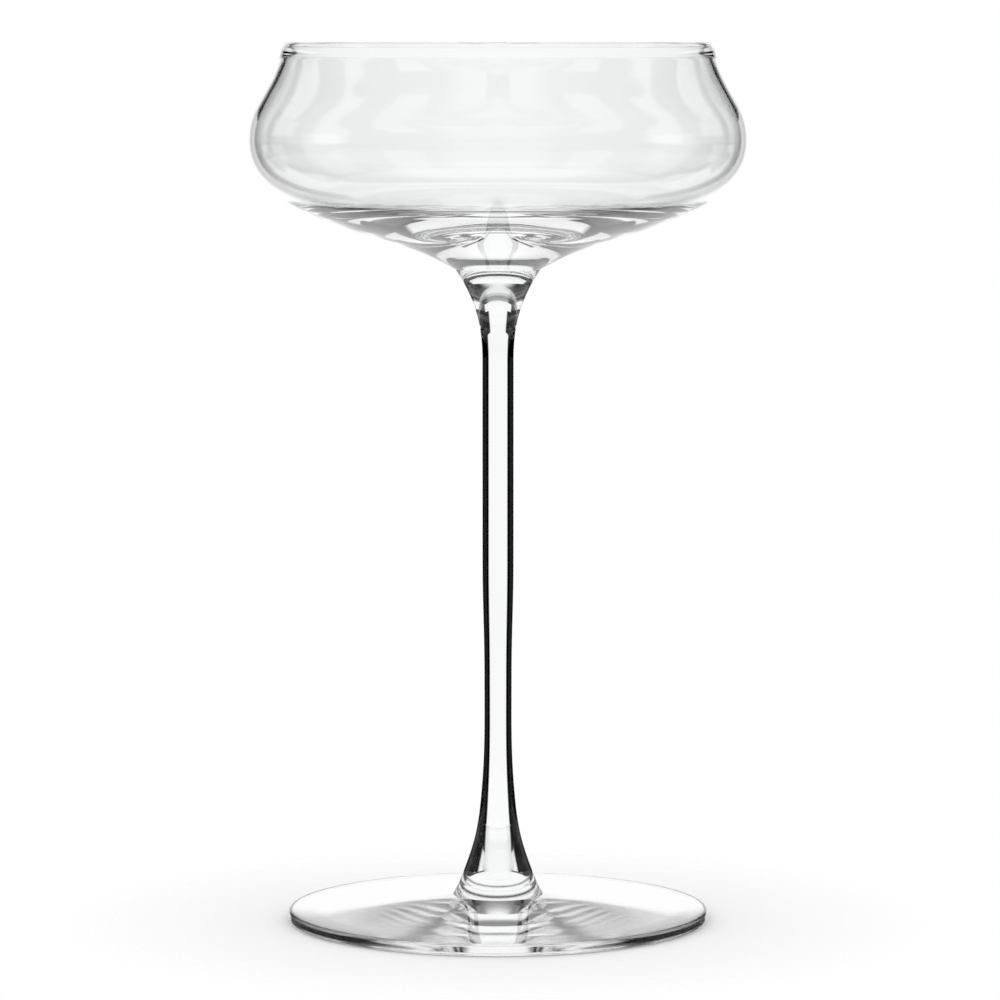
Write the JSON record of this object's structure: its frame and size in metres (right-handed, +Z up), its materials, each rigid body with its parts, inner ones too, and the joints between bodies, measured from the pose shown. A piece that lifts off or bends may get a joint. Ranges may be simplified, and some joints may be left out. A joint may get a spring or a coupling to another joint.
{
  "type": "coupe glass",
  "caption": "Clear stemmed coupe glass with a wide round bowl that narrows to a waisted neck, a slim solid stem and a flat round foot.",
  "frame": {"origin": "on the glass's axis, at the table that the foot's ring rests on", "axes": "+Z up along the glass's axis; X and Y are alike because the glass is round"},
  "size_m": [0.105, 0.105, 0.186],
  "materials": {
    "crystal": "polished clear"
  },
  "bodies": {
    "root": {"bowl": "crystal", "stem": "crystal", "foot": "crystal"}
  },
  "joints": []
}
